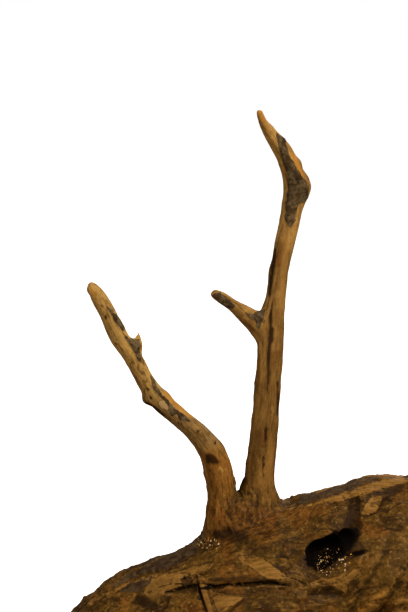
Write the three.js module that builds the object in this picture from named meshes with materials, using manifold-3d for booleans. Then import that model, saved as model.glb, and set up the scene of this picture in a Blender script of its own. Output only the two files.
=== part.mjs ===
// A piece of driftwood: a gnarled root burl that rests on a flat underside, with two bare branches
// growing up from it. It grew as one piece, so it is one solid.
//
// Units are millimetres. +Z is up, +X runs along the burl towards its high end, and -Y is the
// front, the side with the knot hollow. The origin is at the middle of the underside.

import * as THREE from "three";
import { mergeVertices } from "three/addons/utils/BufferGeometryUtils.js";
import Module from "manifold-3d";

const wasm = await Module();
wasm.setup();

// ---- Driving dimensions ----

const CUT_BLOCK = [400, 300, 60]; // the block that is taken away below the resting plane

// A limb's stations run evenly from its start to its end. Each one is x, y, z of the middle, the
// half-width across (seen from the front) and the half-width front to back.
// roundness is the exponent of the curve that closes a limb's ends: 2 is an ellipse, more is
// blunter, and a limb with none ends in a small flat. squareness is the exponent of its section,
// and taper says how much narrower the section is at its top than at its foot.

// A swell raises the burl's skin, or sinks it where its height is negative. Its place is x and the
// angle round the section in degrees: 0 is the top, 90 the front and 270 the back.
const BURL = {
  rings: 44,
  sides: 48,
  roundness: 4,
  squareness: 2.2,
  taper: 0.16,
  stations: [
    [-134, -4, 24, 27, 30],
    [-105, -3, 28, 39, 43],
    [-75, -1, 33, 42.5, 49],
    [-45, 0, 40, 47.5, 51],
    [-15, 1, 48, 57, 52],
    [15, 2, 53, 61, 52],
    [45, 2, 60, 65, 51],
    [75, 1, 61, 69, 50],
    [102, 0, 56, 67, 46],
    [124, -2, 47, 56, 38],
  ],
  swells: [
    { name: "shoulder above the front crack", at: [-28, 72], spread: [50, 22], height: 5 },
    { name: "front crack", at: [-34, 100], spread: [36, 8], height: -6 },
    { name: "knot collar", at: [62, 66], spread: [24, 24], height: 7 },
    { name: "dip under the knot", at: [40, 100], spread: [30, 18], height: -7 },
    { name: "front root's crest", at: [0, 126], spread: [30, 26], height: 8 },
    { name: "cleft left of the front root", at: [-66, 124], spread: [13, 24], height: -11 },
    { name: "cleft right of the front root", at: [56, 124], spread: [15, 26], height: -15 },
    { name: "cleft in the high end", at: [116, 78], spread: [24, 15], height: -20 },
    { name: "saddle of the high end", at: [110, 14], spread: [15, 24], height: -9 },
    { name: "back shoulder", at: [44, 296], spread: [40, 22], height: 6 },
    { name: "back root's crest", at: [-4, 246], spread: [22, 34], height: 3 },
    { name: "cleft left of the back root", at: [-50, 262], spread: [15, 34], height: -17 },
    { name: "cleft right of the back root", at: [44, 250], spread: [15, 34], height: -17 },
    { name: "back crest of the high end", at: [84, 250], spread: [17, 34], height: 8 },
    { name: "cleft in the high end's back", at: [120, 276], spread: [22, 18], height: -16 },
  ],
};
const ROOTS = [
  {
    name: "high root stub",
    rings: 16,
    sides: 20,
    roundness: 3,
    stations: [
      [56, 6, 78, 42, 40],
      [84, 11, 86, 34, 31],
      [106, 16, 92, 25, 24],
      [124, 21, 97, 18, 17],
    ],
  },
  {
    name: "low root stub",
    rings: 16,
    sides: 20,
    roundness: 3,
    stations: [
      [44, -2, 42, 36, 42],
      [82, -14, 28, 30, 34],
      [106, -25, 14, 24, 26],
      [122, -34, 3, 18, 19],
    ],
  },
  {
    name: "left toe",
    rings: 16,
    sides: 20,
    roundness: 3,
    stations: [
      [-44, -6, 32, 34, 40],
      [-80, -18, 22, 28, 31],
      [-104, -29, 12, 21, 22],
      [-121, -38, 3, 16, 16],
    ],
  },
  {
    name: "stool of the branches",
    rings: 16,
    sides: 22,
    roundness: 5,
    stations: [
      [-28, 2, 40, 42, 40],
      [-28, 1, 74, 32, 31],
      [-28.5, 0, 92, 23.5, 22],
      [-28.5, -1, 106, 20.5, 15],
      [-28.5, -1, 118.5, 17, 11],
    ],
  },
];
const BRANCHES = [
  {
    name: "tall branch",
    rings: 46,
    sides: 14,
    stations: [
      [-20, 1, 88, 17, 18],
      [-18, 0, 106, 12, 13],
      [-18, 0, 125, 9.3, 10.5],
      [-15.7, -1, 152, 8.6, 9],
      [-13.8, -1, 177, 8.2, 8.6],
      [-12.4, 0, 200, 8, 8.2],
      [-11, 2, 218, 7.9, 8],
      [-8.6, 3.5, 240, 6, 6.6],
      [-5.8, 5, 260, 6, 6.2],
      [-2.4, 6, 277, 6.2, 6.2],
      [0.8, 6, 293, 6.5, 6.4],
      [3.3, 5, 304, 7.9, 6.8],
      [1.8, 2.5, 314, 7.8, 6.6],
      [-4, -2, 327, 6.6, 5.8],
      [-10.5, -6.5, 337, 5.4, 4.8],
      [-16, -11.5, 345, 3.7, 3.6],
      [-19.6, -15, 353, 2, 2],
    ],
  },
  {
    name: "twig of the tall branch",
    rings: 14,
    sides: 12,
    stations: [
      [-11, 3, 211, 6, 6],
      [-16.5, 2, 219.5, 7, 6.6],
      [-22, 1, 225.5, 6.4, 6],
      [-28.5, -1, 231, 5.2, 5],
      [-35, -4, 236.5, 3.9, 3.8],
      [-41, -7, 241, 3.8, 3.6],
      [-45.8, -9.5, 244.5, 2.2, 2.2],
    ],
  },
  {
    name: "left branch",
    rings: 42,
    sides: 14,
    stations: [
      [-38, -1, 86, 15, 17],
      [-40, -2, 104, 10.5, 13],
      [-41, -3, 119, 9, 10],
      [-42.5, -5, 132, 8.8, 9.2],
      [-46.5, -8, 145, 8, 8.2],
      [-55, -11, 158.5, 6.5, 7],
      [-66, -14, 169.5, 6, 6.2],
      [-77, -16, 179.5, 6.4, 6],
      [-84.5, -18, 190, 5.6, 5.6],
      [-90, -20, 200, 5.2, 5.4],
      [-96, -22.5, 211, 5.2, 5.2],
      [-101.5, -25, 221, 5.3, 5],
      [-107.3, -29, 235, 5, 4.8],
      [-112, -31.5, 245, 4.6, 4.4],
      [-115, -33, 250.5, 3.4, 3.4],
      [-117.2, -34, 254.5, 1.4, 1.6],
    ],
  },
  {
    name: "spur of the left branch",
    rings: 5,
    sides: 8,
    stations: [
      [-95.5, -22, 207, 2.2, 2.4],
      [-92.5, -22.3, 212.5, 2.6, 2.4],
      [-90.6, -22.8, 217, 2, 1.9],
      [-90.1, -23, 222.5, 0.6, 0.6],
    ],
  },
];

// The knot hollow: ellipsoids that are taken away, each with its middle, its half-sizes and its
// tilt about Y in degrees. The first is the wide mouth, the second the groove that runs up from it.
const HOLLOW = [
  { at: [21, -35, 95], half: [14, 17, 8.5], tilt: -28 },
  { at: [34, -27, 108], half: [14, 11, 4.5], tilt: -52 },
];

// ---- Shapes ----

// Catmull-Rom value of evenly spaced stations at t from 0 to 1, column by column.
function stationAt(stations, t) {
  const last = stations.length - 1;
  const at = Math.min(Math.max(t, 0), 1) * last;
  const i = Math.min(Math.floor(at), last - 1);
  const f = at - i;
  const [a, b, c, d] = [i - 1, i, i + 1, i + 2].map(
    (k) => stations[Math.min(Math.max(k, 0), last)],
  );
  return b.map(
    (_, k) =>
      b[k] +
      0.5 * f * (c[k] - a[k] +
        f * (2 * a[k] - 5 * b[k] + 4 * c[k] - d[k] +
          f * (3 * (b[k] - c[k]) + d[k] - a[k]))),
  );
}

// The middle of a limb at t, and its tangent, front and side directions there.
function frameAt(stations, t) {
  const step = 1e-3;
  const ahead = new THREE.Vector3(...stationAt(stations, t + step));
  const behind = new THREE.Vector3(...stationAt(stations, t - step));
  const tangent = ahead.sub(behind).normalize();
  const front = new THREE.Vector3(0, -1, 0).projectOnPlane(tangent).normalize();
  const side = new THREE.Vector3().crossVectors(tangent, front);
  return { front, side };
}

// How far the swells push the skin out at x and at an angle in degrees.
function swelling(swells, x, degrees) {
  return swells.reduce((sum, { at, spread, height }) => {
    const along = (x - at[0]) / spread[0];
    const around = THREE.MathUtils.euclideanModulo(degrees - at[1] + 180, 360) - 180;
    return sum + height * Math.exp(-(along ** 2) - (around / spread[1]) ** 2);
  }, 0);
}

// A limb: a closed tube with a pole at each end, carried along its stations.
function limb({ stations, rings, sides, roundness, squareness = 2, taper = 0, swells = [] }) {
  const wall = Array.from({ length: rings + 1 }, (_, i) => new THREE.Vector2(1, i / rings));
  const outline = [new THREE.Vector2(0, 0), ...wall, new THREE.Vector2(0, 1)];
  const tube = new THREE.LatheGeometry(outline, sides);
  const soften = (v) => Math.sign(v) * Math.abs(v) ** (2 / squareness);
  const points = tube.getAttribute("position");
  for (let i = 0; i < points.count; i++) {
    const evenly = points.getY(i);
    // With rounded ends, rings lie closer together towards the ends.
    const t = roundness ? (1 - Math.cos(Math.PI * evenly)) / 2 : evenly;
    const end = roundness ? (1 - Math.abs(2 * t - 1) ** roundness) ** (1 / roundness) : 1;
    const [x, y, z, across, deep] = stationAt(stations, t);
    const { front, side } = frameAt(stations, t);
    const toSide = soften(points.getX(i));
    const toFront = soften(points.getZ(i)) * (1 + taper * toSide);
    const outward = new THREE.Vector3()
      .addScaledVector(side, toSide * across)
      .addScaledVector(front, toFront * deep);
    const degrees = THREE.MathUtils.radToDeg(Math.atan2(-outward.y, outward.z));
    const length = outward.length();
    const swell = length > 1 ? swelling(swells, x, degrees) : 0;
    outward.setLength((length + swell) * end);
    points.setXYZ(i, x + outward.x, y + outward.y, z + outward.z);
  }
  return tube;
}

function ellipsoid({ at, half, tilt }) {
  return new THREE.SphereGeometry(1, 24, 16)
    .scale(...half)
    .rotateY(THREE.MathUtils.degToRad(tilt))
    .translate(...at);
}

// ---- Solids ----

function solid(geometry) {
  const bare = geometry.clone();
  bare.deleteAttribute("normal");
  bare.deleteAttribute("uv");
  const merged = mergeVertices(bare, 1e-3);
  return new wasm.Manifold(
    new wasm.Mesh({
      numProp: 3,
      vertProperties: merged.getAttribute("position").array,
      triVerts: new Uint32Array(merged.index.array),
    }),
  );
}

function geometryOf(body) {
  const mesh = body.getMesh();
  return new THREE.BufferGeometry()
    .setAttribute("position", new THREE.BufferAttribute(mesh.vertProperties, 3))
    .setIndex(new THREE.BufferAttribute(mesh.triVerts, 1));
}

const belowGround = new THREE.BoxGeometry(...CUT_BLOCK);
belowGround.translate(0, 0, -CUT_BLOCK[2] / 2);

const grown = [BURL, ...ROOTS, ...BRANCHES]
  .map((form) => solid(limb(form)))
  .reduce((sum, next) => sum.add(next));
const wood = [...HOLLOW.map(ellipsoid), belowGround]
  .map(solid)
  .reduce((rest, cut) => rest.subtract(cut), grown);

// ---- Node ----

const weatheredWood = new THREE.MeshStandardMaterial({
  name: "weathered_wood",
  color: 0x7a5528,
  roughness: 0.7,
  metalness: 0,
});

const driftwood = new THREE.Mesh(geometryOf(wood), weatheredWood);
driftwood.name = "driftwood";
driftwood.geometry.computeVertexNormals();

const piece = new THREE.Group();
piece.add(driftwood);

export default piece;
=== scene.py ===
"""A piece of driftwood: a dark root burl with two bare branches, grown as one piece of wood.

The wood is worked out in four steps. Closed shells are carried along the burl, its roots and its
branches. They are fused into one skin. The knot hollow and the flat underside are cut. Then the
skin is given its relief: flutes, grain, bark plates, cracks and pits, all of them fields that are
worked out for every point of the skin at once, and that the material reads too.

Lengths in the tables are millimetres, and the mesh is in metres.
"""

import functools
import itertools
import math

import bpy
import numpy as np
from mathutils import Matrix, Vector


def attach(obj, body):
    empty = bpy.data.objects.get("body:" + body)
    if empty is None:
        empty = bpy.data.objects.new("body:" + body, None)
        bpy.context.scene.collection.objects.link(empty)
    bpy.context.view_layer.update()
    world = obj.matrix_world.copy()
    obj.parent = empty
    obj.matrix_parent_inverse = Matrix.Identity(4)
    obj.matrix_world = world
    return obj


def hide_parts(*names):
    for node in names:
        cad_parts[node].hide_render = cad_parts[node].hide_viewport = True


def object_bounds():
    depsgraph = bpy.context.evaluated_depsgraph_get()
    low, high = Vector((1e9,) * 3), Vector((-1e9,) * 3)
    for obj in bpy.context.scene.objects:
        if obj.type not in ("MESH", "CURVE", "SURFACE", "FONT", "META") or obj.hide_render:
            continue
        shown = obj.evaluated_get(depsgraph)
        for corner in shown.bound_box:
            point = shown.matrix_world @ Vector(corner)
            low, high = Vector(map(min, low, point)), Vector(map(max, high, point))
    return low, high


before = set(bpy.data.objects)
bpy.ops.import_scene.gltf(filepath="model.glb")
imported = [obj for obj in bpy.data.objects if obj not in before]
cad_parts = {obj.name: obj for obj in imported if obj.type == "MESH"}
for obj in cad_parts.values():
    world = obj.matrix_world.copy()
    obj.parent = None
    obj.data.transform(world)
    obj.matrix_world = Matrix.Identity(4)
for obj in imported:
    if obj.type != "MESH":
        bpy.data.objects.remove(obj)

bl_info = {
    "name": "Driftwood",
    "version": (1, 0, 0),
    "blender": (4, 5, 0),
    "location": "3D Viewport > Sidebar > Driftwood",
    "description": "Builds a weathered root burl with two bare branches, and a studio stage",
    "category": "Add Mesh",
}

CAD_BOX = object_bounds()
NODE = "driftwood"
MM = 0.001


# ---- The limbs ----
#
# A limb's stations run evenly from its start to its end: x, y, z of the middle, the half-width
# across (seen from the front) and the half-width front to back. roundness is the exponent of the
# curve that closes its ends, squareness is the exponent of its section, and taper is how much
# narrower the section is at its top than at its foot.

BURL = {
    "rings": 150,
    "sides": 150,
    "roundness": 4,
    "squareness": 2.2,
    "taper": 0.16,
    "stations": [
        (-134, -4, 24, 27, 30),
        (-105, -3, 28, 39, 43),
        (-75, -1, 33, 42.5, 49),
        (-45, 0, 40, 47.5, 51),
        (-15, 1, 48, 57, 52),
        (15, 2, 53, 61, 52),
        (45, 2, 60, 65, 51),
        (75, 1, 61, 69, 50),
        (102, 0, 56, 67, 46),
        (124, -2, 47, 56, 38),
    ],
}

# A swell raises the burl's skin, or sinks it where its height is negative. Its place is x and the
# angle round the section in degrees (0 is the top, 90 the front, 270 the back), and then come its
# spread along x, its spread in degrees and its height.
SWELLS = {
    "shoulder above the front crack": (-28, 72, 50, 22, 5),
    "front crack": (-34, 100, 36, 8, -6),
    "knot collar": (62, 66, 24, 24, 7),
    "dip under the knot": (40, 100, 30, 18, -7),
    "front root's crest": (0, 126, 30, 26, 8),
    "cleft left of the front root": (-66, 124, 13, 24, -11),
    "cleft right of the front root": (56, 124, 15, 26, -15),
    "cleft in the high end": (116, 78, 24, 15, -20),
    "saddle of the high end": (110, 14, 15, 24, -9),
    "back shoulder": (44, 296, 40, 22, 6),
    "back root's crest": (-4, 246, 22, 34, 3),
    "cleft left of the back root": (-50, 262, 15, 34, -17),
    "cleft right of the back root": (44, 250, 15, 34, -17),
    "back crest of the high end": (84, 250, 17, 34, 8),
    "cleft in the high end's back": (120, 276, 22, 18, -16),
}

ROOTS = {
    "high root stub": [
        (56, 6, 78, 42, 40),
        (84, 11, 86, 34, 31),
        (106, 16, 92, 25, 24),
        (124, 21, 97, 18, 17),
    ],
    "low root stub": [
        (44, -2, 42, 36, 42),
        (82, -14, 28, 30, 34),
        (106, -25, 14, 24, 26),
        (122, -34, 3, 18, 19),
    ],
    "left toe": [
        (-44, -6, 32, 34, 40),
        (-80, -18, 22, 28, 31),
        (-104, -29, 12, 21, 22),
        (-121, -38, 3, 16, 16),
    ],
}

STOOL = [
    (-28, 2, 40, 42, 40),
    (-28, 1, 74, 32, 31),
    (-28.5, 0, 92, 23.5, 22),
    (-28.5, -1, 106, 20.5, 15),
    (-28.5, -1, 118.5, 17, 11),
]

BRANCHES = {
    "tall branch": [
        (-20, 1, 88, 17, 18),
        (-18, 0, 106, 12, 13),
        (-18, 0, 125, 9.3, 10.5),
        (-15.7, -1, 152, 8.6, 9),
        (-13.8, -1, 177, 8.2, 8.6),
        (-12.4, 0, 200, 8, 8.2),
        (-11, 2, 218, 7.9, 8),
        (-8.6, 3.5, 240, 6, 6.6),
        (-5.8, 5, 260, 6, 6.2),
        (-2.4, 6, 277, 6.2, 6.2),
        (0.8, 6, 293, 6.5, 6.4),
        (3.3, 5, 304, 7.9, 6.8),
        (1.8, 2.5, 314, 7.8, 6.6),
        (-4.5, -2, 327, 5.7, 5.6),
        (-11.3, -6.5, 337, 4.6, 4.6),
        (-17, -11.5, 345, 2.9, 3.2),
        (-20.1, -15, 353, 2.1, 2.2),
    ],
    "twig": [
        (-11, 3, 211, 6, 6),
        (-16.5, 2, 219.5, 7, 6.6),
        (-22, 1, 225.5, 6.4, 6),
        (-28.5, -1, 231, 5.2, 5),
        (-35, -4, 236.5, 3.9, 3.8),
        (-41, -7, 241, 3.8, 3.6),
        (-47, -9.5, 245, 2.6, 2.4),
    ],
    "left branch": [
        (-38, -1, 86, 15, 17),
        (-40, -2, 104, 10.5, 13),
        (-41, -3, 119, 9, 10),
        (-42.5, -5, 132, 8.8, 9.2),
        (-46.5, -8, 145, 8, 8.2),
        (-55, -11, 158.5, 6.5, 7),
        (-66, -14, 169.5, 6, 6.2),
        (-77, -16, 179.5, 6.4, 6),
        (-84.5, -18, 190, 5.6, 5.6),
        (-90, -20, 200, 5.2, 5.4),
        (-96, -22.5, 211, 5.2, 5.2),
        (-101.8, -25, 221, 5.8, 5),
        (-107.6, -29, 235, 5.3, 4.8),
        (-112.4, -31.5, 245, 4.9, 4.4),
        (-115.3, -33, 250.5, 3.8, 3.4),
        (-118, -34, 255, 1.8, 1.8),
    ],
    "spur": [
        (-95.5, -22, 206, 2.6, 2.6),
        (-92.5, -22.5, 213, 3, 2.6),
        (-90.6, -23, 218.5, 2.3, 2.1),
        (-90.3, -23, 224.5, 1.0, 1.0),
    ],
}

LIMBS = {"burl": BURL}
LIMBS |= {
    name: {"rings": 50, "sides": 64, "roundness": 3, "stations": rows} for name, rows in ROOTS.items()
}
LIMBS |= {"stool": {"rings": 50, "sides": 80, "roundness": 5, "stations": STOOL}}
LIMBS |= {
    name: {"rings": 16 * len(rows), "sides": 40, "roundness": 40, "stations": rows}
    for name, rows in BRANCHES.items()
}
STOOL_PLACE = (-28, 105)  # x and z of the torn wood at the branches' foot
STOOL_REACH = (30, 17)  # how far the torn wood reaches along x and z
GROUND = ((-220, -120, -90), (220, 120, 0))  # corners of the block that cuts the underside flat
GROUND_EDGE = 0.6  # skin lower than this stands on the ground and stays flat
END_HEART = np.array([108.0, -4.0, 56.0])  # heart of the high end, where its checks meet

# Lumps and dents that the stations are too coarse for: x, y, z of the middle, the reach and the
# height.
KNOBS = {
    "knob on the bent tip": (9, 3, 306, 4, 1.4),
    "dent above that knob": (8, 2, 317, 4.5, -2.0),
    "dent on the bent tip": (3, -2, 325, 3.5, -1.2),
    "dent under the finger": (-7, -4, 343, 3.5, -2.2),
    "step in the tall branch's left edge": (-14, 4, 256, 5, 0.8),
    "inside of the twig's crotch": (-15, 3, 233, 4, 1.0),
    "cut corner of the left tip": (-119, -34, 250, 2.5, 1.2),
    "foot of the spur": (-90, -24, 214, 5, 1.8),
    "branch under the spur": (-89, -24, 205, 6, 1.2),
    "outer corner of the elbow": (-88.5, -19, 180, 4.0, 4.8),
    "golden lump over the elbow": (-72, -15, 186, 4, 1.3),
    "shoulder of the left branch": (-40, -6, 152, 6, 0.8),
    "lump at the tall branch's foot": (-4, -3, 118, 5, 1.8),
    "fillet at the stool's left": (-55, 0, 88, 7, 2.6),
    "fillet at the tall branch's right": (-5, 3, 113, 5, 2.4),
    "fillet in the fork": (-28, -1, 121.5, 4, 1.8),
    "start of the ridge": (7, 8, 112, 7, 2.4),
    "dip in the ridge": (28, 6, 122, 13, -2.2),
    "knot on the back": (38, 44, 74, 9, 3.0),
    "dimple in the knot on the back": (38, 50, 75, 4, -4.0),
    "knot on the right end": (126, -18, 62, 9, 2.6),
    "knot on the left toe": (-112, -44, 26, 7, 2.2),
}

# The knot hollow: ellipsoids that are cut away, each with its middle, its half-sizes and its tilt
# about Y in degrees.
HOLLOW = [
    ((17, -36, 91.3), (8.2, 17, 7.2), -24),
    ((23.5, -34, 94.8), (9.6, 16, 6.4), -30),
    ((31.5, -33, 99.6), (7, 7.5, 4), -36),
]
KNOT = (24, 97)  # the x and z that the burl's grain flows round
KNOT_REACH = 17  # radius of the stretch round the knot that no grain line crosses


# ---- Marks on the front ----
#
# Patches are outlines, and strokes are a half-width with the points that they pass. Both give x
# and z, as the front shows them.

BARK_PATCHES = {
    "bent tip": [
        (-10, 340), (-3, 335), (-4, 333), (-1.5, 326), (3, 318), (6.5, 313), (10.5, 307), (10, 299),
        (6, 297), (3, 293), (2.5, 286), (-0.5, 282), (-3.5, 286), (-3.5, 297.5), (-2, 305),
        (-2.5, 315), (-5.5, 321), (-7.5, 329), (-9.5, 336.5),
    ],
    "twig's end": [
        (-46.5, 244.5), (-42, 245), (-33.5, 237), (-34.5, 234), (-38.5, 235), (-44.5, 241),
        (-47, 243),
    ],
    "twig's crotch": [
        (-27.5, 232.5), (-23, 230.5), (-19.5, 232), (-14.5, 234), (-15.5, 228), (-19.5, 222),
        (-21.5, 227), (-25.5, 229.5),
    ],
    "left branch, top": [
        (-109, 242), (-106.5, 240.5), (-104.5, 237), (-100, 232), (-98, 227), (-99, 224.5),
        (-101, 227.5), (-103.5, 232.5), (-106.5, 237.5), (-108.5, 240),
    ],
    "foot of the spur": [
        (-98.5, 223.5), (-95.5, 220.5), (-93, 220), (-90, 219.5), (-89, 216.5), (-90, 215),
        (-89.5, 210), (-88.5, 206), (-90.5, 206.5), (-92.5, 212), (-95.5, 217), (-97, 220),
    ],
    "band past the elbow": [
        (-84, 198.5), (-82, 195.5), (-79.5, 190.5), (-76, 185), (-72.5, 181.5), (-70, 177.5),
        (-66, 174.5), (-61, 170), (-59.5, 168), (-62.5, 169), (-66, 170), (-68, 173.5),
        (-71, 172), (-72.5, 175.5), (-73, 178.5), (-75, 182), (-78.5, 185), (-82.5, 191.5),
    ],
    "ridge strip": [
        (2, 112), (6.5, 115), (15, 119), (23, 122), (32, 125), (38, 126.5), (45, 127.5), (44, 126),
        (39.5, 123.6), (33, 122), (27, 120.4), (20.5, 118.4), (13, 116), (7.5, 114),
    ],
    "island": [
        (-102, 62.5), (-98, 65.5), (-90.5, 68.5), (-83, 71), (-84.5, 68.5), (-90, 65), (-96.5, 62.5),
    ],
    "left shoulder": [
        (-116, 58.5), (-100.5, 68), (-85, 75), (-69.5, 82), (-57, 90), (-52, 96), (-50.5, 91),
        (-56.5, 85), (-66, 80), (-75.5, 76), (-91, 70.5), (-104, 64.5), (-113, 59.5),
    ],
}
BARE_PATCHES = {
    "leaf": [
        (-31, 88.5), (-23.5, 89.5), (-16.5, 89), (-12, 86.5), (-7.5, 84), (-2.5, 81), (-8.5, 79),
        (-14.5, 80), (-19.5, 82.5), (-24, 85), (-28, 86),
    ],
    "pointed band": [
        (-46, 83.5), (-48, 81), (-54, 77.5), (-63.5, 75), (-75, 72.5), (-84.5, 69.5), (-96.5, 65),
        (-110, 59.5), (-120, 53), (-123, 52.5), (-115.5, 58), (-99.5, 65.5), (-84.5, 71.5),
        (-75.5, 74.5), (-65.5, 77), (-54, 81),
    ],
    "right patch": [
        (51, 122.5), (56, 120.5), (53.5, 116.5), (46.5, 112), (42.5, 113), (45.5, 117.5),
    ],
    "under the hollow": [
        (11, 77), (18.5, 80), (27, 81.5), (35, 86), (41, 87.5), (33.5, 77), (31.5, 71), (28.5, 74.5),
        (21, 76.5), (11.5, 76),
    ],
    "low bar": [
        (39, 62), (42.5, 64.5), (47, 65), (51, 72), (56.5, 77), (58, 75), (54, 69), (49, 60.5),
        (44.5, 58.5), (41, 59.5),
    ],
    "low corner": [(59, 50), (60.5, 67.5), (68.5, 73), (78, 70), (80, 52)],
    "ridge band": [
        (-0.5, 111), (7, 113.5), (16.5, 116.5), (25, 119.5), (32, 121.5), (39, 123.4), (44.5, 125.4),
        (53.5, 128), (74, 130.5), (72.5, 128), (58, 125.5), (50, 124), (44, 122), (37.5, 119.5),
        (31, 118), (21.5, 116.5), (9.5, 114), (1, 112),
    ],
    "pale oval": [(-78.5, 181), (-76, 182), (-73.5, 181), (-72.5, 177), (-75, 175), (-77.5, 177.5)],
    "splinter": [(-55, 76), (-52, 75), (-48.5, 67), (-45, 59), (-49, 59), (-53, 67)],
    "slope beside the splinter": [(-46, 69.5), (-28, 69.5), (-38, 63.5), (-42.5, 60.5), (-45.5, 65)],
}
STAIN_AND_SHADE_PATCHES = {
    # Painted shade: the shadow in the scoop of the knot hollow, fading up to the right, painted dark.
    "round the hollow": [
        (22, 99), (29, 103), (34, 111), (36.5, 118.5), (41.5, 122), (43, 118.5), (41.5, 112),
        (43, 107), (39.5, 101), (45.5, 96), (38.5, 92.5), (28.5, 88), (18, 84), (10, 83.5), (7, 89),
        (13, 96),
    ],
    "oval spot": [
        (-51, 147), (-48.5, 149), (-45.5, 146.5), (-42.5, 142.5), (-43, 141), (-47.5, 142),
        (-50, 141.5), (-51, 144.5),
    ],
}
STAINS = [
    (1.0, [(-11, 238), (-12, 229.5), (-12, 219.5), (-13, 208.5), (-13.5, 183)]),
    (0.9, [(-13, 211), (-13.5, 188)]),
    (0.7, [(-10.5, 224), (-11, 214.5)]),
    (0.8, [(-7.5, 192), (-7, 180), (-7.5, 167.5)]),
    (1.0, [(-14.5, 165.5), (-15, 153.5)]),
    (0.8, [(-16, 147), (-15.5, 132)]),
    (1.1, [(-9, 269.5), (-11, 256.5), (-13, 239)]),
    (0.7, [(-109.5, 236), (-108, 232.5)]),
    (0.7, [(-88, 200), (-88, 197)]),
    (0.9, [(-86, 191.5), (-84.5, 188)]),
    (0.7, [(-83.5, 183.5), (-82, 183.5)]),
    (1.1, [(-88, 182), (-85, 179.5), (-82, 178), (-78, 174.5), (-74, 171)]),
    (0.8, [(-67.5, 168.5), (-64.5, 167)]),
    (0.8, [(-56.5, 162.5), (-53.5, 162)]),
    (0.8, [(-46, 155), (-44.5, 153.5)]),
    (1.2, [(49.5, 121.5), (56, 123), (62.5, 124.5), (70.5, 126.5)]),
    (1.3, [(56.5, 120), (63.5, 123), (69, 125.5)]),
    (2.2, [(-94, 61), (-80, 59)]),
    (2.2, [(-66, 73), (-58, 73)]),
    (3.4, [(-47, 96), (-36, 98), (-24, 96)]),
    (1.4, [(-50, 76), (-30, 78.5), (-8, 79)]),
]
# Gold strokes: painted highlight on the branches' upper right edges and tips, and amber wood on the
# burl's low bar.
GOLD_AND_HIGHLIGHT_STROKES = [
    (2.0, [(-76, 187), (-70.5, 182.5), (-67, 178.5), (-63, 174.5), (-57, 169.5)]),
    (1.0, [(-81, 180), (-79, 180)]),
    (1.2, [(-1, 328), (7, 313)]),
    (1.0, [(-119, 252), (-113, 246)]),
    (1.4, [(-20, 353), (-17, 346)]),
    (1.7, [(39, 60.5), (45, 62)]),
    (1.1, [(44, 61), (51, 70.5), (57, 76.5)]),
]
# Tan strokes: painted highlight down the branches' right sides, and pale wood on the burl.
PALE_AND_HIGHLIGHT_STROKES = [
    (1.4, [(-11.5, 160), (-12, 124)]),
    (1.4, [(-2, 280), (-4, 262), (-6.5, 227)]),
    (1.6, [(-19.5, 352), (-16.5, 344), (-13, 336)]),
    (0.9, [(0, 327), (7, 312)]),
    (3.6, [(-88, 64), (-80, 68), (-72, 70.5), (-64, 72)]),
    (2.0, [(43, 62), (51, 71), (57, 76.5)]),
    (5.0, [(62, 58), (70, 62), (78, 66)]),
]
# Red-brown wood at the foot of the branches and round the front crack.
RED_STROKES = [
    (7.0, [(-52, 110), (-36, 108), (-18, 106), (-6, 100)]),
    (4.0, [(-44, 118), (-40, 100), (-36, 84)]),
    (3.0, [(-66, 62), (-56, 60), (-46, 56)]),
    (2.4, [(40, 110), (48, 104), (58, 106)]),
    (2.2, [(6, 111), (16, 113), (24, 115)]),
]
# Cracks are a half-width, a depth and points, and their insides are painted dark as shade. Valleys are
# the same, but wide and without painted shade.
CRACKS = [
    (0.85, 2.8, [(-76, 66), (-70, 67.5), (-63.5, 69.5), (-55, 72)]),
    (0.75, 3.2, [(-56, 72), (-45, 73), (-35, 75), (-24.5, 76.5), (-12.5, 77.5), (0, 76)]),
    (0.6, 1.6, [(-56, 73.5), (-53.5, 68.5), (-51.5, 64), (-49, 59)]),
    (0.7, 1.8, [(27, 91), (34, 93.5), (40, 95), (47, 96)]),
    (0.7, 0.6, [(-7.5, 192), (-7, 180), (-7.5, 167)]),
    (0.8, 0.8, [(-9, 269.5), (-11, 256.5), (-13, 239)]),
]
VALLEYS = [
    (6.0, 4.0, [(28, 101), (34, 107), (38, 113), (41, 121)]),
    (3.0, 2.2, [(46, 119), (58, 122.5), (74, 127)]),
    (4.0, 2.0, [(-28, 92), (-8, 90), (8, 92)]),
    (2.4, 1.8, [(33, 56), (40, 70), (46, 82), (51, 90), (59, 103)]),
    (2.2, 1.6, [(50, 54), (58.5, 71), (65.5, 83), (72, 93)]),
    (2.0, 1.4, [(64, 60), (70, 76), (80, 92), (92, 104)]),
    (3.0, 1.8, [(8, 70), (22, 72), (34, 67)]),
]
# The line of the long crack, the splinter that is lifted below it, and the splinter's ridge.
LONG_CRACK = [(-80, 65.5), (-67, 68.5), (-54, 72), (-39, 74.5), (-14, 77.5), (0, 76)]
SPLINTER = [
    (-55.5, 76.5), (-53.5, 68), (-49.5, 58), (-41, 58), (-27.5, 69.5), (-46, 70.5), (-51.5, 76),
]
SPLINTER_RIDGE = [(-54.5, 76.5), (-51, 70), (-46, 60)]
SPLINTER_LIFT = 1.9
SAND_MARKS = [
    (3.0, [(15, 84.5), (21, 84.8), (29, 88), (37, 93.5)]),
    (2.4, [(-56, 88), (-48, 92), (-42, 93)]),
]


def catmull_rom(stations, t):
    """Value of evenly spaced stations at each t from 0 to 1, as a cubic that passes through them."""
    last = len(stations) - 1
    at = np.clip(t, 0, 1) * last
    i = np.minimum(at.astype(int), last - 1)
    f = (at - i)[:, None]
    a = stations[np.maximum(i - 1, 0)]
    b = stations[i]
    c = stations[i + 1]
    d = stations[np.minimum(i + 2, last)]
    return b + 0.5 * f * (c - a + f * (2 * a - 5 * b + 4 * c - d + f * (3 * (b - c) + d - a)))


def unit(vectors):
    """Each row divided by its own length."""
    return vectors / np.maximum(np.linalg.norm(vectors, axis=-1, keepdims=True), 1e-9)


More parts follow.
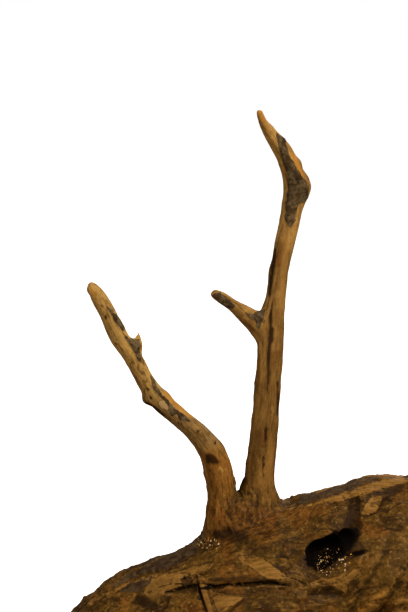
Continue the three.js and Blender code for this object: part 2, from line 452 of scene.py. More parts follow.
def middle_line(limb, t):
    """Stations of a limb at each t, with the tangent, front and side directions there. The front
    direction is -Y less its part along the tangent, and the side is tangent x front."""
    stations = np.array(limb["stations"], float)
    step = 1e-3
    rows = catmull_rom(stations, t)
    tangent = unit(catmull_rom(stations, t + step)[:, :3] - catmull_rom(stations, t - step)[:, :3])
    forward = np.array([0.0, -1.0, 0.0])
    front = unit(forward - tangent * (tangent @ forward)[:, None])
    return rows, tangent, front, np.cross(tangent, front)


def swelling(x, degrees):
    """Sum of the swells: each is its height times exp(-(distance along / spread)^2
    - (turn round / spread)^2)."""
    total = np.zeros_like(x)
    for place, angle, along, around, height in SWELLS.values():
        turn = (degrees - angle + 180) % 360 - 180
        total += height * np.exp(-(((x - place) / along) ** 2) - (turn / around) ** 2)
    return total


def tube_faces(rings, sides):
    """Faces of a closed tube, whose two end points come after its rings: four-sided ones between
    the rings, and a fan of three-sided ones at each end."""
    ring, spoke = np.meshgrid(np.arange(rings - 1), np.arange(sides), indexing="ij")
    here = (ring * sides + spoke).ravel()
    beside = (ring * sides + (spoke + 1) % sides).ravel()
    quads = np.stack([here, beside, beside + sides, here + sides], 1)
    rim = np.arange(sides)
    rim_next = (rim + 1) % sides
    last_ring = (rings - 1) * sides
    first = np.stack([rim_next, rim, np.full(sides, rings * sides)], 1)
    last = np.stack([rim + last_ring, rim_next + last_ring, np.full(sides, rings * sides + 1)], 1)
    return quads, np.vstack([first, last])


def limb_shell(limb):
    """A closed tube round a limb's middle line. At share t and angle a the skin is middle +
    side * across * |sin a| softened + front * deep * |cos a| softened, times the end curve
    (1 - |2t - 1|^roundness)^(1 / roundness), with the swells added along that direction."""
    rings, sides = limb["rings"], limb["sides"]
    evenly = (np.arange(rings) + 0.5) / rings
    t = (1 - np.cos(math.pi * evenly)) / 2
    roundness = limb["roundness"]
    end = (1 - np.abs(2 * t - 1) ** roundness) ** (1 / roundness)
    rows, _, front, side = middle_line(limb, t)
    angle = np.arange(sides) / sides * 2 * math.pi
    power = 2 / limb.get("squareness", 2)
    to_side = np.sign(np.sin(angle)) * np.abs(np.sin(angle)) ** power
    to_front = np.sign(np.cos(angle)) * np.abs(np.cos(angle)) ** power
    to_front = to_front * (1 + limb.get("taper", 0) * to_side)
    across = side[:, None] * (to_side[None, :] * rows[:, 3:4])[..., None]
    deep = front[:, None] * (to_front[None, :] * rows[:, 4:5])[..., None]
    outward = across + deep
    if limb is BURL:
        degrees = np.degrees(np.arctan2(-outward[..., 1], outward[..., 2]))
        x = np.broadcast_to(rows[:, 0:1], degrees.shape)
        outward = outward + unit(outward) * swelling(x, degrees)[..., None]
    skin = rows[:, None, :3] + outward * end[:, None, None]
    return np.vstack([skin.reshape(-1, 3), rows[0, :3], rows[-1, :3]]), *tube_faces(rings, sides)


def ellipsoid(middle, half, tilt, rings=48, sides=64):
    """A sphere of unit radius, stretched to the half-sizes, tilted about Y and moved to its middle.
    A gentle ripple of a few waves round it keeps the hollow from looking turned on a lathe."""
    v = ((np.arange(rings) + 0.5) / rings * math.pi)[:, None]
    u = (np.arange(sides) / sides * 2 * math.pi)[None, :]
    ripple = 1 + 0.06 * np.sin(3 * u + 2.0) * np.sin(v) ** 2
    ripple = ripple + 0.04 * np.sin(5 * u + 5 * v)
    ball = np.stack(
        [np.sin(v) * np.cos(u) * ripple, np.sin(v) * np.sin(u) * ripple, np.cos(v) + 0 * u], -1
    )
    ball = np.vstack([ball.reshape(-1, 3), (0, 0, 1), (0, 0, -1)]) * half
    turn = math.radians(tilt)
    x = ball[:, 0] * math.cos(turn) + ball[:, 2] * math.sin(turn)
    z = ball[:, 2] * math.cos(turn) - ball[:, 0] * math.sin(turn)
    quads, fans = tube_faces(rings, sides)
    faces = [np.roll(quads[:, ::-1], 1, axis=1), fans[:, ::-1]]
    return np.stack([x, ball[:, 1], z], 1) + middle, *faces


def block(low, high):
    """A closed box between two corners."""
    corners = np.array(list(itertools.product(*zip(low, high))), float)
    faces = [(0, 1, 3, 2), (4, 6, 7, 5), (0, 4, 5, 1), (2, 3, 7, 6), (0, 2, 6, 4), (1, 5, 7, 3)]
    return corners, np.array(faces)


# ---- Noise ----

RANDOM = np.random.default_rng(7)
SHUFFLE = RANDOM.permutation(256)
SLOPES = unit(RANDOM.normal(size=(256, 3)))
TONES = 16  # how many tones the flaked layers take in turn
RANDOM_TONES = RANDOM.permutation(np.linspace(0.05, 0.95, TONES))


def noise(points, seed=0):
    """Gradient noise, about -1 to 1. Each whole-numbered lattice point holds a slope of its own,
    and the eight round a point are blended with the curve 6f^5 - 15f^4 + 10f^3."""
    cell = np.floor(points).astype(np.int64)
    f = points - cell
    fade = f * f * f * (f * (f * 6 - 15) + 10)
    total = np.zeros(len(points))
    for corner in itertools.product((0, 1), repeat=3):
        x, y, z = ((cell + corner) % 256).T
        pick = SHUFFLE[(SHUFFLE[(SHUFFLE[(x + seed) % 256] + y) % 256] + z) % 256]
        weight = np.prod(np.where(corner, fade, 1 - fade), axis=1)
        total += weight * np.einsum("ij,ij->i", f - corner, SLOPES[pick])
    return total * 1.7


def fractal(points, octaves, seed=0):
    """Noise with finer and weaker copies of itself added: each is half the size and half as high."""
    return sum(noise(points * 2**k, seed + 17 * k) / 2**k for k in range(octaves))


def ridged(points, octaves, seed=0):
    """Sharp crests, 0 to about 1: one less the size of the noise, its copies weighed as in fractal."""
    layers = [(1 - np.abs(noise(points * 2**k, seed + 29 * k))) / 2**k for k in range(octaves)]
    return sum(layers) / sum(1 / 2**k for k in range(octaves))


def smooth_step(low, high, value):
    """0 below low and 1 above high, joined by 3f^2 - 2f^3. The limits may be arrays too."""
    f = np.clip((value - low) / (high - low), 0, 1)
    return f * f * (3 - 2 * f)


# ---- Places on the wood ----


def limb_places(points, limb):
    """For each point: its place along the limb and its offsets to the side and to the front, in
    millimetres, the limb's radius there, and its distance outside the limb's skin."""
    t = np.linspace(0, 1, 20 * len(limb["stations"]))
    rows, tangent, front, side = middle_line(limb, t)
    along = np.concatenate([[0], np.cumsum(np.linalg.norm(np.diff(rows[:, :3], axis=0), axis=1))])
    nearest = np.empty(len(points), int)
    for part in np.array_split(np.arange(len(points)), max(1, len(points) // 20000)):
        apart = (rows[:, :3] ** 2).sum(1)[None, :] - 2 * points[part] @ rows[:, :3].T
        nearest[part] = apart.argmin(1)
    offset = points - rows[nearest, :3]
    s = along[nearest] + (offset * tangent[nearest]).sum(1)
    to_side = (offset * side[nearest]).sum(1)
    to_front = (offset * front[nearest]).sum(1)
    radius = (rows[nearest, 3] + rows[nearest, 4]) / 2
    beyond = np.abs((offset * tangent[nearest]).sum(1))
    ratio = np.sqrt((to_side / rows[nearest, 3]) ** 2 + (to_front / rows[nearest, 4]) ** 2)
    outside = (ratio - 1) * radius + np.maximum(beyond - 2, 0)
    return np.stack([s, to_side, to_front], 1), radius, outside


def line_places(x, z, points):
    """Distance in the front plane from each place to a line of straight pieces, and how far along
    the line, from 0 to 1, its nearest point is."""
    best = np.full_like(x, 1e9)
    share = np.zeros_like(x)
    lengths = [math.dist(a, b) for a, b in zip(points, points[1:])]
    walked = 0.0
    for (ax, az), (bx, bz), length in zip(points, points[1:], lengths):
        dx, dz = bx - ax, bz - az
        part = np.clip(((x - ax) * dx + (z - az) * dz) / length**2, 0, 1)
        apart = np.hypot(x - ax - part * dx, z - az - part * dz)
        share = np.where(apart < best, (walked + part * length) / sum(lengths), share)
        best = np.minimum(best, apart)
        walked += length
    return best, share


def stroke_field(x, z, strokes):
    """The highest of the strokes: 1 on a stroke's middle line, 0.5 at its half-width, and 0 at
    twice that. A stroke narrows to nothing at its ends."""
    best = np.zeros_like(x)
    for half_width, points in strokes:
        apart, share = line_places(x, z, points)
        width = half_width * (1 - np.abs(2 * share - 1) ** 5)
        best = np.maximum(best, 1 - apart / (2 * width + 0.01))
    return best


def patch_depth(x, z, outline):
    """How far inside an outline each place is, and less than 0 outside it. A place is inside when
    the outline passes to its right an odd number of times."""
    corners = list(zip(outline, outline[1:] + outline[:1]))
    apart = line_places(x, z, outline + outline[:1])[0]
    crossings = np.zeros(len(x), int)
    for (ax, az), (bx, bz) in corners:
        if az != bz:
            spans = (az > z) != (bz > z)
            crossings += spans & (x < ax + (z - az) * (bx - ax) / (bz - az))
    return np.where(crossings % 2 == 1, apart, -apart)


def patch_field(x, z, patches, soft=1.5):
    """0.5 on the outlines of the patches, 1 from soft mm inside them and 0 from soft mm outside."""
    best = np.zeros_like(x)
    for outline in patches.values():
        best = np.maximum(best, np.clip(0.5 + patch_depth(x, z, outline) / (2 * soft), 0, 1))
    return best


class Places:
    """Where each point of the skin lies on the wood: the limb that it belongs to, its place along
    that limb's grain, that limb's radius, how near it is to where two limbs meet, and how much it
    belongs to the burl and to the torn wood at the branches' foot."""

    def __init__(self, points, normals):
        self.points = points
        self.normals = normals
        found = [limb_places(points, limb) for limb in LIMBS.values()]
        outside = np.stack([each[2] for each in found], 1)
        outside[:, 0] -= 1.5  # the burl takes its own skin back from the roots
        self.limb = outside.argmin(1)
        order = np.sort(outside, axis=1)
        self.seam = order[:, 1] - order[:, 0]
        every = np.arange(len(points))
        self.grain = np.stack([each[0] for each in found], 1)[every, self.limb]
        self.radius = np.stack([each[1] for each in found], 1)[every, self.limb]
        branch = np.isin(list(LIMBS), list(BRANCHES))
        near_branch, near_burl = outside[:, branch].min(1), outside[:, ~branch].min(1)
        self.on_burl = smooth_step(-5, 5, near_branch - near_burl)
        across, up = (points[:, 0] - STOOL_PLACE[0], points[:, 2] - STOOL_PLACE[1])
        self.stool = np.exp(-((across / STOOL_REACH[0]) ** 2) - (up / STOOL_REACH[1]) ** 2)
        self.flow()

    def flow(self):
        """Bends the burl's grain round the knot as water flows round a post, with the offset to the
        side times 1 - (reach / distance)^2."""
        x, z = self.points[:, 0], self.points[:, 2]
        burl = self.limb == 0
        dx, dz = x - KNOT[0], z - KNOT[1]
        far = np.maximum(dx * dx + dz * dz, KNOT_REACH**2)
        facing = smooth_step(0, 20, self.grain[:, 2]) * (1 - smooth_step(45, 75, np.abs(dx)))
        pull = dz * KNOT_REACH**2 / far * facing
        self.grain[burl, 1] += pull[burl]


# ---- Mesh helpers ----


def mesh_object(name, points, *faces):
    """A new object at the origin, with its points given in millimetres. Its faces come as arrays,
    one for each number of corners."""
    mesh = bpy.data.meshes.new(name)
    mesh.from_pydata((points * MM).tolist(), [], [face for kind in faces for face in kind.tolist()])
    mesh.update()
    made = bpy.data.objects.new(name, mesh)
    bpy.context.collection.objects.link(made)
    return made


def settle(made):
    """Puts the outcome of an object's modifiers into its mesh, and removes them."""
    depsgraph = bpy.context.evaluated_depsgraph_get()
    mesh = bpy.data.meshes.new_from_object(made.evaluated_get(depsgraph))
    old = made.data
    made.modifiers.clear()
    made.data = mesh
    bpy.data.meshes.remove(old)


def modify(made, kind, **settings):
    """Gives an object one modifier and settles it."""
    modifier = made.modifiers.new(kind.title(), kind)
    for key, value in settings.items():
        setattr(modifier, key, value)
    settle(made)


def read_skin(mesh):
    """Points in millimetres, normals and edges of a mesh, as arrays."""
    points = np.empty(len(mesh.vertices) * 3)
    mesh.vertices.foreach_get("co", points)
    normals = np.empty(len(mesh.vertices) * 3)
    mesh.vertex_normals.foreach_get("vector", normals)
    edges = np.empty(len(mesh.edges) * 2, int)
    mesh.edges.foreach_get("vertices", edges)
    return points.reshape(-1, 3) / MM, normals.reshape(-1, 3), edges.reshape(-1, 2)


def write_points(mesh, points):
    """Puts points in millimetres back into a mesh."""
    mesh.vertices.foreach_set("co", (points * MM).ravel())
    mesh.update()


def relax(points, edges, weight, times):
    """Moves each point towards the mean of its neighbours, by its weight, a number of times."""
    count = np.bincount(edges.ravel(), minlength=len(points))[:, None]
    for _ in range(times):
        total = np.zeros_like(points)
        for axis in range(points.shape[1]):
            total[:, axis] += np.bincount(edges[:, 0], points[edges[:, 1], axis], len(points))
            total[:, axis] += np.bincount(edges[:, 1], points[edges[:, 0], axis], len(points))
        points = points + (total / np.maximum(count, 1) - points) * weight[:, None]
    return points


# ---- The wood ----

# Heights and depths of the relief in millimetres. The burl's lumps, flutes and grooves have a height
# for its front and an addition to it for its unseen sides.
LUMPS = (2.2, 0.8)
FLUTES = (1.8, 4.2)
GROOVES = (0.6, 0.9)
FLAKE = 0.6  # one flaked layer of the burl
GRIT = 0.22
WAVES = 0.6  # long waves of the branches' skin
RIBS = 0.3  # fine ribs along the branches
TORN = 0.9  # torn wood at the branches' foot
BARK_ON_BURL = 0.7
BARK_ON_BRANCH = 0.35
WORN_DOWN = 0.5  # how far the bare patches are sunk
LIP = 1.2
CHECKS = 2.2  # drying checks in the high end
DRAWN = 0.02  # a patch's field is above this wherever the patch or its soft edge is
FINE = 0.22  # small pits this deep take the full painted shade
BROAD = 1.1  # and so do broad dips this deep


def front_facing(normals):
    """1 where the skin looks to the front or up, and 0 where it looks back."""
    return smooth_step(-0.25, 0.25, -normals[:, 1] + 0.4 * normals[:, 2])


def unseen(places):
    """1 where the skin looks back, lies low or belongs to the far right end, and 0 elsewhere."""
    x, z = places.points[:, 0], places.points[:, 2]
    outer = np.maximum(1 - smooth_step(36, 54, z), smooth_step(76, 94, x))
    return np.maximum(outer, 1 - front_facing(places.normals))


def ragged_edge(places, seed):
    """Noise that makes the edge of a patch ragged, about 0.2 of its field either way."""
    return 0.2 * fractal(places.points / 3.5, 2, seed)


def bark_field(places):
    """How much of the bark is left, above 0.5 where it covers the wood: the front's patches, some
    of the branches' skin where noise is high, and the same on the burl's unseen sides."""
    x, z = places.points[:, 0], places.points[:, 2]
    drawn = patch_field(x, z, BARK_PATCHES) * front_facing(places.normals)
    hidden = unseen(places)
    on_branches = 0.2 + 0.5 * fractal(places.grain / (15, 6, 6), 3, 5)
    on_branches = on_branches * (1 - places.on_burl) * (0.4 + 0.6 * hidden)
    on_burl = (0.16 + 0.5 * fractal(places.grain / (34, 15, 15), 3, 9)) * hidden * places.on_burl
    drawn = drawn + ragged_edge(places, 3) * (drawn > DRAWN)
    return np.maximum(drawn, np.maximum(on_branches, on_burl))


def bare_field(places):
    """How much of the wood is rubbed bare and pale, above 0.5 where it is: the front's patches, and
    some of the burl's unseen sides where noise is high."""
    x, z = places.points[:, 0], places.points[:, 2]
    drawn = patch_field(x, z, BARE_PATCHES) * front_facing(places.normals)
    hidden = unseen(places)
    rubbed = (0.12 + 0.5 * fractal(places.grain / (26, 9, 9), 3, 35)) * hidden * places.on_burl
    return np.maximum(drawn + ragged_edge(places, 31) * (drawn > DRAWN), rubbed)


def layers(places):
    """The flaked layers of old wood. Noise that is stretched along the grain is cut into steps.
    Gives the height in steps, each with a ramp of 0.15 of a step, and a tone of each step's own,
    from 0 for a dark outer layer to 1 for a pale inner one."""
    value = 1.5 * fractal(places.grain / (42, 16, 16), 3, 71)
    value += 0.5 * fractal(places.points / 12, 3, 77)
    step = np.floor(value)
    ramp = smooth_step(0, 0.15, value - step)
    level = step.astype(int)
    tones = RANDOM_TONES[level % TONES]
    before = RANDOM_TONES[(level - 1) % TONES]
    return step + ramp, before + (tones - before) * ramp


def crack_depth(places, widen=0.0):
    """The drawn ones may be widened by a few tenths of a millimetre."""
    x, z = places.points[:, 0], places.points[:, 2]
    wander = 0.4 * fractal(places.points / 7, 2, 11)
    uneven = 1 + 0.4 * noise(places.points / 8, 91)
    depth = np.zeros(len(x))
    facing = front_facing(places.normals)
    for half_width, deep, points in CRACKS:
        apart, share = line_places(x, z + wander, points)
        size = np.sqrt(1 - np.abs(2 * share - 1) ** 3) * uneven
        width = half_width * (0.35 + 0.65 * size) + widen
        depth = np.maximum(depth, deep * size * np.exp(-((apart / width) ** 2)) * facing)
    end = places.points - END_HEART
    reach = np.hypot(end[:, 1], end[:, 2])
    turn = np.arctan2(end[:, 1], end[:, 2])
    way = np.stack([2.2 * np.cos(turn), 2.2 * np.sin(turn), end[:, 0] / 60], 1)
    rays = 1 - np.abs(noise(way, 97))
    on_end = smooth_step(6, 18, end[:, 0]) * smooth_step(3, 9, reach) * (1 - smooth_step(22, 34, reach))
    depth = np.maximum(depth, CHECKS * smooth_step(0.93, 0.99, rays) * on_end)
    lines = 1 - np.abs(noise(places.grain / (60, 9, 9), 43))
    open_here = smooth_step(0.15, 0.5, fractal(places.grain / (50, 22, 22), 2, 47))
    size = 0.4 + 1.2 * places.on_burl
    return np.maximum(depth, size * smooth_step(0.965, 0.995, lines) * open_here)


def valley_depth(places):
    """Depth of the wide valleys in millimetres, with soft sides."""
    x, z = places.points[:, 0], places.points[:, 2]
    depth = np.zeros(len(x))
    for half_width, deep, points in VALLEYS:
        apart, share = line_places(x, z, points)
        size = np.sqrt(1 - np.abs(2 * share - 1) ** 3)
        depth = np.maximum(depth, deep * size * np.exp(-((apart / half_width) ** 2)))
    return depth * front_facing(places.normals)


def relief(places, bark, bare, cracks):
    """Height of the skin's relief in millimetres, along its normal: noise along the grain and in
    all directions, the bark's plates, the bare patches, the lip, the cracks, the valleys and the
    knobs. Noise in the burl's unseen sides is stronger, because nothing is drawn on them."""
    burl = places.on_burl
    branch = 1 - burl
    grain = places.grain
    hidden = unseen(places)
    lumps, flutes, grooves = (front + more * hidden for front, more in (LUMPS, FLUTES, GROOVES))
    lumps = lumps * fractal(places.points / 34, 3, 1)
    flutes = flutes * (ridged(grain / (66, 16, 16), 2, 13) - 0.72)
    grooves = grooves * (ridged(grain / (30, 5, 5), 2, 19) - 0.7)
    grit = GRIT * fractal(places.points / 2.4, 2, 87)
    height = burl * (lumps + flutes + grooves + FLAKE * layers(places)[0] + grit)
    waves = WAVES * fractal(grain / (20, 8, 8), 3, 27)
    ribs = RIBS * (ridged(grain / (44, 4.5, 4.5), 1, 33) - 0.7)
    height += branch * np.clip(places.radius / 8, 0.25, 1) * (waves + ribs)
    height += places.stool * TORN * fractal(grain / (9, 2.6, 2.6), 3, 41)
    plate = smooth_step(0.44, 0.56, bark) * (BARK_ON_BURL * burl + BARK_ON_BRANCH * branch)
    height += plate * (0.8 + 0.35 * fractal(places.points / 2.6, 2, 53))
    height -= WORN_DOWN * smooth_step(0.42, 0.6, bare) * burl
    height += ledge(places) - cracks - valley_depth(places)
    for x, y, z, reach, high in KNOBS.values():
        apart = ((places.points - (x, y, z)) ** 2).sum(1)
        height += high * np.exp(-apart / reach**2)
    return height


def ledge(places):
    """The lip over the long crack: proud above it and as much sunk below it, dying away 10 mm from
    it. The splinter stands out of the sunk part as a plate with a ridge along it."""
    x, z = places.points[:, 0], places.points[:, 2]
    facing = front_facing(places.normals)
    line = np.interp(x, *zip(*LONG_CRACK))
    within = smooth_step(-84, -66, x) * (1 - smooth_step(-10, 6, x))
    rise = z - line
    lip = LIP * np.tanh(rise / LIP) * np.exp(-((rise / 10) ** 2)) * within
    plate = smooth_step(-0.4, 0.9, patch_depth(x, z, SPLINTER))
    crest = 1.6 * np.exp(-line_places(x, z, SPLINTER_RIDGE)[0] / 4)
    return facing * (lip + plate * (SPLINTER_LIFT + crest - lip))


def hollow_ratio(points):
    """Distance from the middle of the nearest of the hollow's ellipsoids, as a share of the
    distance to that ellipsoid's skin."""
    ratio = np.full(len(points), 9.0)
    for middle, half, tilt in HOLLOW:
        turn = math.radians(tilt)
        d = points - middle
        x = d[:, 0] * math.cos(turn) - d[:, 2] * math.sin(turn)
        z = d[:, 0] * math.sin(turn) + d[:, 2] * math.cos(turn)
        own = np.sqrt((x / half[0]) ** 2 + (d[:, 1] / half[1]) ** 2 + (z / half[2]) ** 2)
        ratio = np.minimum(ratio, own)
    return ratio


def store(mesh, name, values, kind="FLOAT", domain="POINT"):
    """Keeps an array on the mesh as an attribute that the material reads."""
    attribute = mesh.attributes.new(name, kind, domain)
    key = "vector" if kind == "FLOAT_VECTOR" else "value"
    attribute.data.foreach_set(key, np.asarray(values, np.float32).ravel())


def store_grain(mesh, points, places):
    """Keeps the grain's places in metres for every corner of every face. All corners of a face
    take the limb of its first corner, so that no face is stretched between two limbs."""
    loops = np.empty(len(mesh.loops), int)
    mesh.loops.foreach_get("vertex_index", loops)
    starts = np.empty(len(mesh.polygons), int)
    mesh.polygons.foreach_get("loop_start", starts)
    totals = np.empty(len(mesh.polygons), int)
    mesh.polygons.foreach_get("loop_total", totals)
    face_limb = np.repeat(places.limb[loops[starts]], totals)
    grain = np.empty((len(loops), 3))
    for index, limb in enumerate(LIMBS.values()):
        own = face_limb == index
        if own.any():
            grain[own] = limb_places(points[loops[own]], limb)[0]
    same = places.limb[loops] == face_limb
    grain[same] = places.grain[loops[same]]
    store(mesh, "grain", grain * MM, "FLOAT_VECTOR", "CORNER")


def fused_wood(settings):
    """The limbs' shells as one skin, with the hollow and the ground cut away."""
    points, faces, count = [], [], 0
    for limb in LIMBS.values():
        shell, quads, fans = limb_shell(limb)
        points.append(shell)
        faces += [quads + count, fans + count]
        count += len(shell)
    wood = mesh_object(NODE + "_visual", np.vstack(points), *faces)
    modify(wood, "REMESH", mode="VOXEL", voxel_size=settings.blend_voxel)
    skin, normals, edges = read_skin(wood.data)
    places = Places(skin, normals)
    meeting = np.exp(-((places.seam / 5) ** 2)) * (0.25 + 0.75 * places.on_burl)
    skin = relax(skin, edges, 0.5 * meeting, 40)
    skin = relax(skin, edges, np.full(len(skin), 0.3), 2)
    write_points(wood.data, skin)
    cuts = [ellipsoid(*each) for each in HOLLOW]
    cuts.append(block(*GROUND))
    for index, cut in enumerate(cuts):
        cutter = mesh_object(f"cutter_{index}", *cut)
        modify(wood, "BOOLEAN", operation="DIFFERENCE", solver="MANIFOLD", object=cutter)
        bpy.data.objects.remove(cutter)
    modify(wood, "REMESH", mode="VOXEL", voxel_size=settings.skin_voxel)
    return wood


def carve_relief(wood):
    """Moves the skin by its relief. The skin is smoothed and the rim of the hollow rounded first,
    and the underside is left flat on the ground."""
    mesh = wood.data
    skin, normals, edges = read_skin(mesh)
    ground = skin[:, 2] < GROUND_EDGE
    rim = np.exp(-(((hollow_ratio(skin) - 1.05) / 0.22) ** 2))
    skin = relax(skin, edges, np.where(ground, 0, 0.5), 2)
    skin = relax(skin, edges, 0.6 * rim, 24)
    write_points(mesh, skin)
    skin, normals, edges = read_skin(mesh)
    places = Places(skin, normals)
    bark, bare, cracks = bark_field(places), bare_field(places), crack_depth(places)
    inside = 1 - smooth_step(0.85, 1.15, hollow_ratio(skin))
    height = relief(places, bark, bare, cracks) * (1 - 0.6 * inside)
    height *= smooth_step(0, 4, skin[:, 2])
    carved = skin + normals * height[:, None]
    carved[:, 2] = np.where(ground, 0, np.maximum(carved[:, 2], 0.05))
    write_points(mesh, carved)


def paint_fields(wood):
    """Works the fields out again on the final skin and keeps them for the material. The fine and
    the broad field are how far the skin lies below its own smoothed form, as shares of their
    heights."""
    mesh = wood.data
    skin, normals, edges = read_skin(mesh)
    everywhere = np.ones(len(skin))
    near = relax(skin, edges, everywhere * 0.6, 3)
    wide = relax(near, edges, everywhere * 0.6, 22)
    fine = ((near - skin) * normals).sum(1)
    broad = ((wide - near) * normals).sum(1)
    places = Places(skin, normals)
    x, z = skin[:, 0], skin[:, 2]
    facing = front_facing(normals)
    ragged = ragged_edge(places, 15)
    # Dark stains and streaks, and painted shade round the knot hollow.
    stain = np.maximum(stroke_field(x, z, STAINS), patch_field(x, z, STAIN_AND_SHADE_PATCHES, 1.2)) * facing
    ratio = hollow_ratio(skin)
    # The hollow's painted shade fades out towards its upper right.
    fading = 1.2 + 0.8 * smooth_step(20, 32, x) * smooth_step(92, 98, z)
    left = np.isin(places.limb, [list(LIMBS).index(name) for name in ("left branch", "spur")])
    fields = {
        "on_burl": places.on_burl,
        "tone": layers(places)[1],
        "bark": bark_field(places),
        "bare": bare_field(places),
        "stain": stain + ragged * (stain > DRAWN),
        # light and gold: painted highlights on the branches' lit sides, and pale and amber wood on the
        # burl
        "light": stroke_field(x, z, PALE_AND_HIGHLIGHT_STROKES) * facing,
        "gold": stroke_field(x, z, GOLD_AND_HIGHLIGHT_STROKES) * facing,
        "red": stroke_field(x, z, RED_STROKES) * facing,
        # crack and hollow: painted shade, put in as near black inside the cracks and the knot hollow
        "crack": np.clip(crack_depth(places, 0.25) / 1.8, 0, 1),
        "hollow": 1 - smooth_step(1.0, fading, ratio + ragged),
        # fine and broad: how far the skin lies below its smoothed form, which the material paints as
        # shade
        "fine": np.clip(fine / FINE, -1, 1),
        "broad": np.clip(broad / BROAD, -1, 1),
        "sand": stroke_field(x, z, SAND_MARKS) * facing * smooth_step(0.7, 0.95, ratio),
        "stool": places.stool,
        "left": relax(left[:, None].astype(float), edges, everywhere * 0.5, 10)[:, 0],
    }
    for name, values in fields.items():
        store(mesh, name, values)
    store_grain(mesh, skin, places)


# ---- Materials ----

# What each kind of node is: its name in Blender, its fixed settings, the sockets that its inputs go
# to in their order, and the socket that gives its result.
NODES = {
    "coordinates": ("ShaderNodeTexCoord", {}, (), "Object"),
    "field": ("ShaderNodeAttribute", {}, (), "Fac"),
    "vector field": ("ShaderNodeAttribute", {}, (), "Vector"),
    "parts of place": ("ShaderNodeSeparateXYZ", {}, (0,), 0),
    "parts of colour": ("ShaderNodeSeparateColor", {}, (0,), 0),
    "stretch": ("ShaderNodeVectorMath", {"operation": "MULTIPLY"}, (0, 1), 0),
    "noise": (
        "ShaderNodeTexNoise",
        {},
        ("Vector", "Scale", "Detail", "Roughness", "Distortion"),
        "Fac",
    ),
    "cells": (
        "ShaderNodeTexVoronoi",
        {"feature": "F1"},
        ("Vector", "Scale", "Randomness"),
        "Distance",
    ),
    "span": ("ShaderNodeMapRange", {"interpolation_type": "SMOOTHSTEP"}, (0, 1, 2, 3, 4), 0),
    "mix": ("ShaderNodeMix", {"data_type": "RGBA"}, (0, 6, 7), 2),
    "bump": ("ShaderNodeBump", {}, ("Height", "Distance", "Strength"), 0),
    "wood": (
        "ShaderNodeBsdfPrincipled",
        {},
        ("Base Color", "Roughness", "Normal", "IOR", "Specular IOR Level"),
        0,
    ),
    "camera ray": ("ShaderNodeLightPath", {}, (), "Is Camera Ray"),
    "paper": ("ShaderNodeBsdfDiffuse", {}, ("Color",), 0),
    "glow": ("ShaderNodeEmission", {}, ("Strength",), 0),
    "both": ("ShaderNodeAddShader", {}, (0, 1), 0),
    "surface": ("ShaderNodeOutputMaterial", {}, ("Surface",), None),
    "background": ("ShaderNodeBackground", {}, ("Color", "Strength"), 0),
    "surround": ("ShaderNodeOutputWorld", {}, ("Surface",), None),
}
SUMS = ("multiply", "add", "subtract", "maximum", "less_than", "multiply_add")
NODES |= {name: ("ShaderNodeMath", {"operation": name.upper()}, (0, 1, 2), 0) for name in SUMS}


def linear(code):
    """An sRGB hex colour as linear red, green, blue and alpha."""
    channels = [int(code[i : i + 2], 16) / 255 for i in (1, 3, 5)]
    return [c / 12.92 if c <= 0.04045 else ((c + 0.055) / 1.055) ** 2.4 for c in channels] + [1.0]


def add_node(tree, kind, *inputs, **settings):
    """Adds a node with its settings and inputs: a socket is linked, a hex colour is made linear,
    and anything else is the input's value. Gives the socket with the node's result."""
    name, fixed, sockets, result = NODES[kind]
    made = tree.nodes.new(name)
    for key, value in (fixed | settings).items():
        setattr(made, key, value)
    for key, value in zip(sockets, inputs):
        if isinstance(value, bpy.types.NodeSocket):
            tree.links.new(value, made.inputs[key])
        else:
            made.inputs[key].default_value = linear(value) if isinstance(value, str) else value
    return None if result is None else made.outputs[result]


def empty_tree(owner):
    """The function that adds nodes to a new material or world, once its own nodes are cleared."""
    owner.use_nodes = True
    owner.node_tree.nodes.clear()
    return functools.partial(add_node, owner.node_tree)


# The wood's noise: what it follows, the size of its lumps in millimetres (along the grain, across it
# and deep), and then its detail, its roughness and its distortion. The growth bands are 5 mm wide,
# the fibres a little over 1 mm, which is as fine as shows, and the threads half of that.
WOOD_NOISE = {
    "bands": ("grain", (60, 5, 5), 3.0, 0.55, 0.4),
    "fibres": ("grain", (22, 1.5, 1.5), 3.0, 0.55, 0.0),
    "threads": ("grain", (7, 0.7, 0.7), 2.0, 0.5, 0.0),
    "flecks": ("grain", (8, 3, 3), 3.0, 0.62, 0.3),
    "cloud": ("place", (22, 22, 22), 3.0, 0.55, 0.0),
    "mottle": ("place", (5, 5, 5), 4.0, 0.62, 0.0),
    "chips": ("place", (1.9, 1.9, 1.9), 3.0, 0.6, 0.0),
}
SAND_CELL = 1.2  # mm from one grain of sand to the next, for coarse sand of about 1 mm


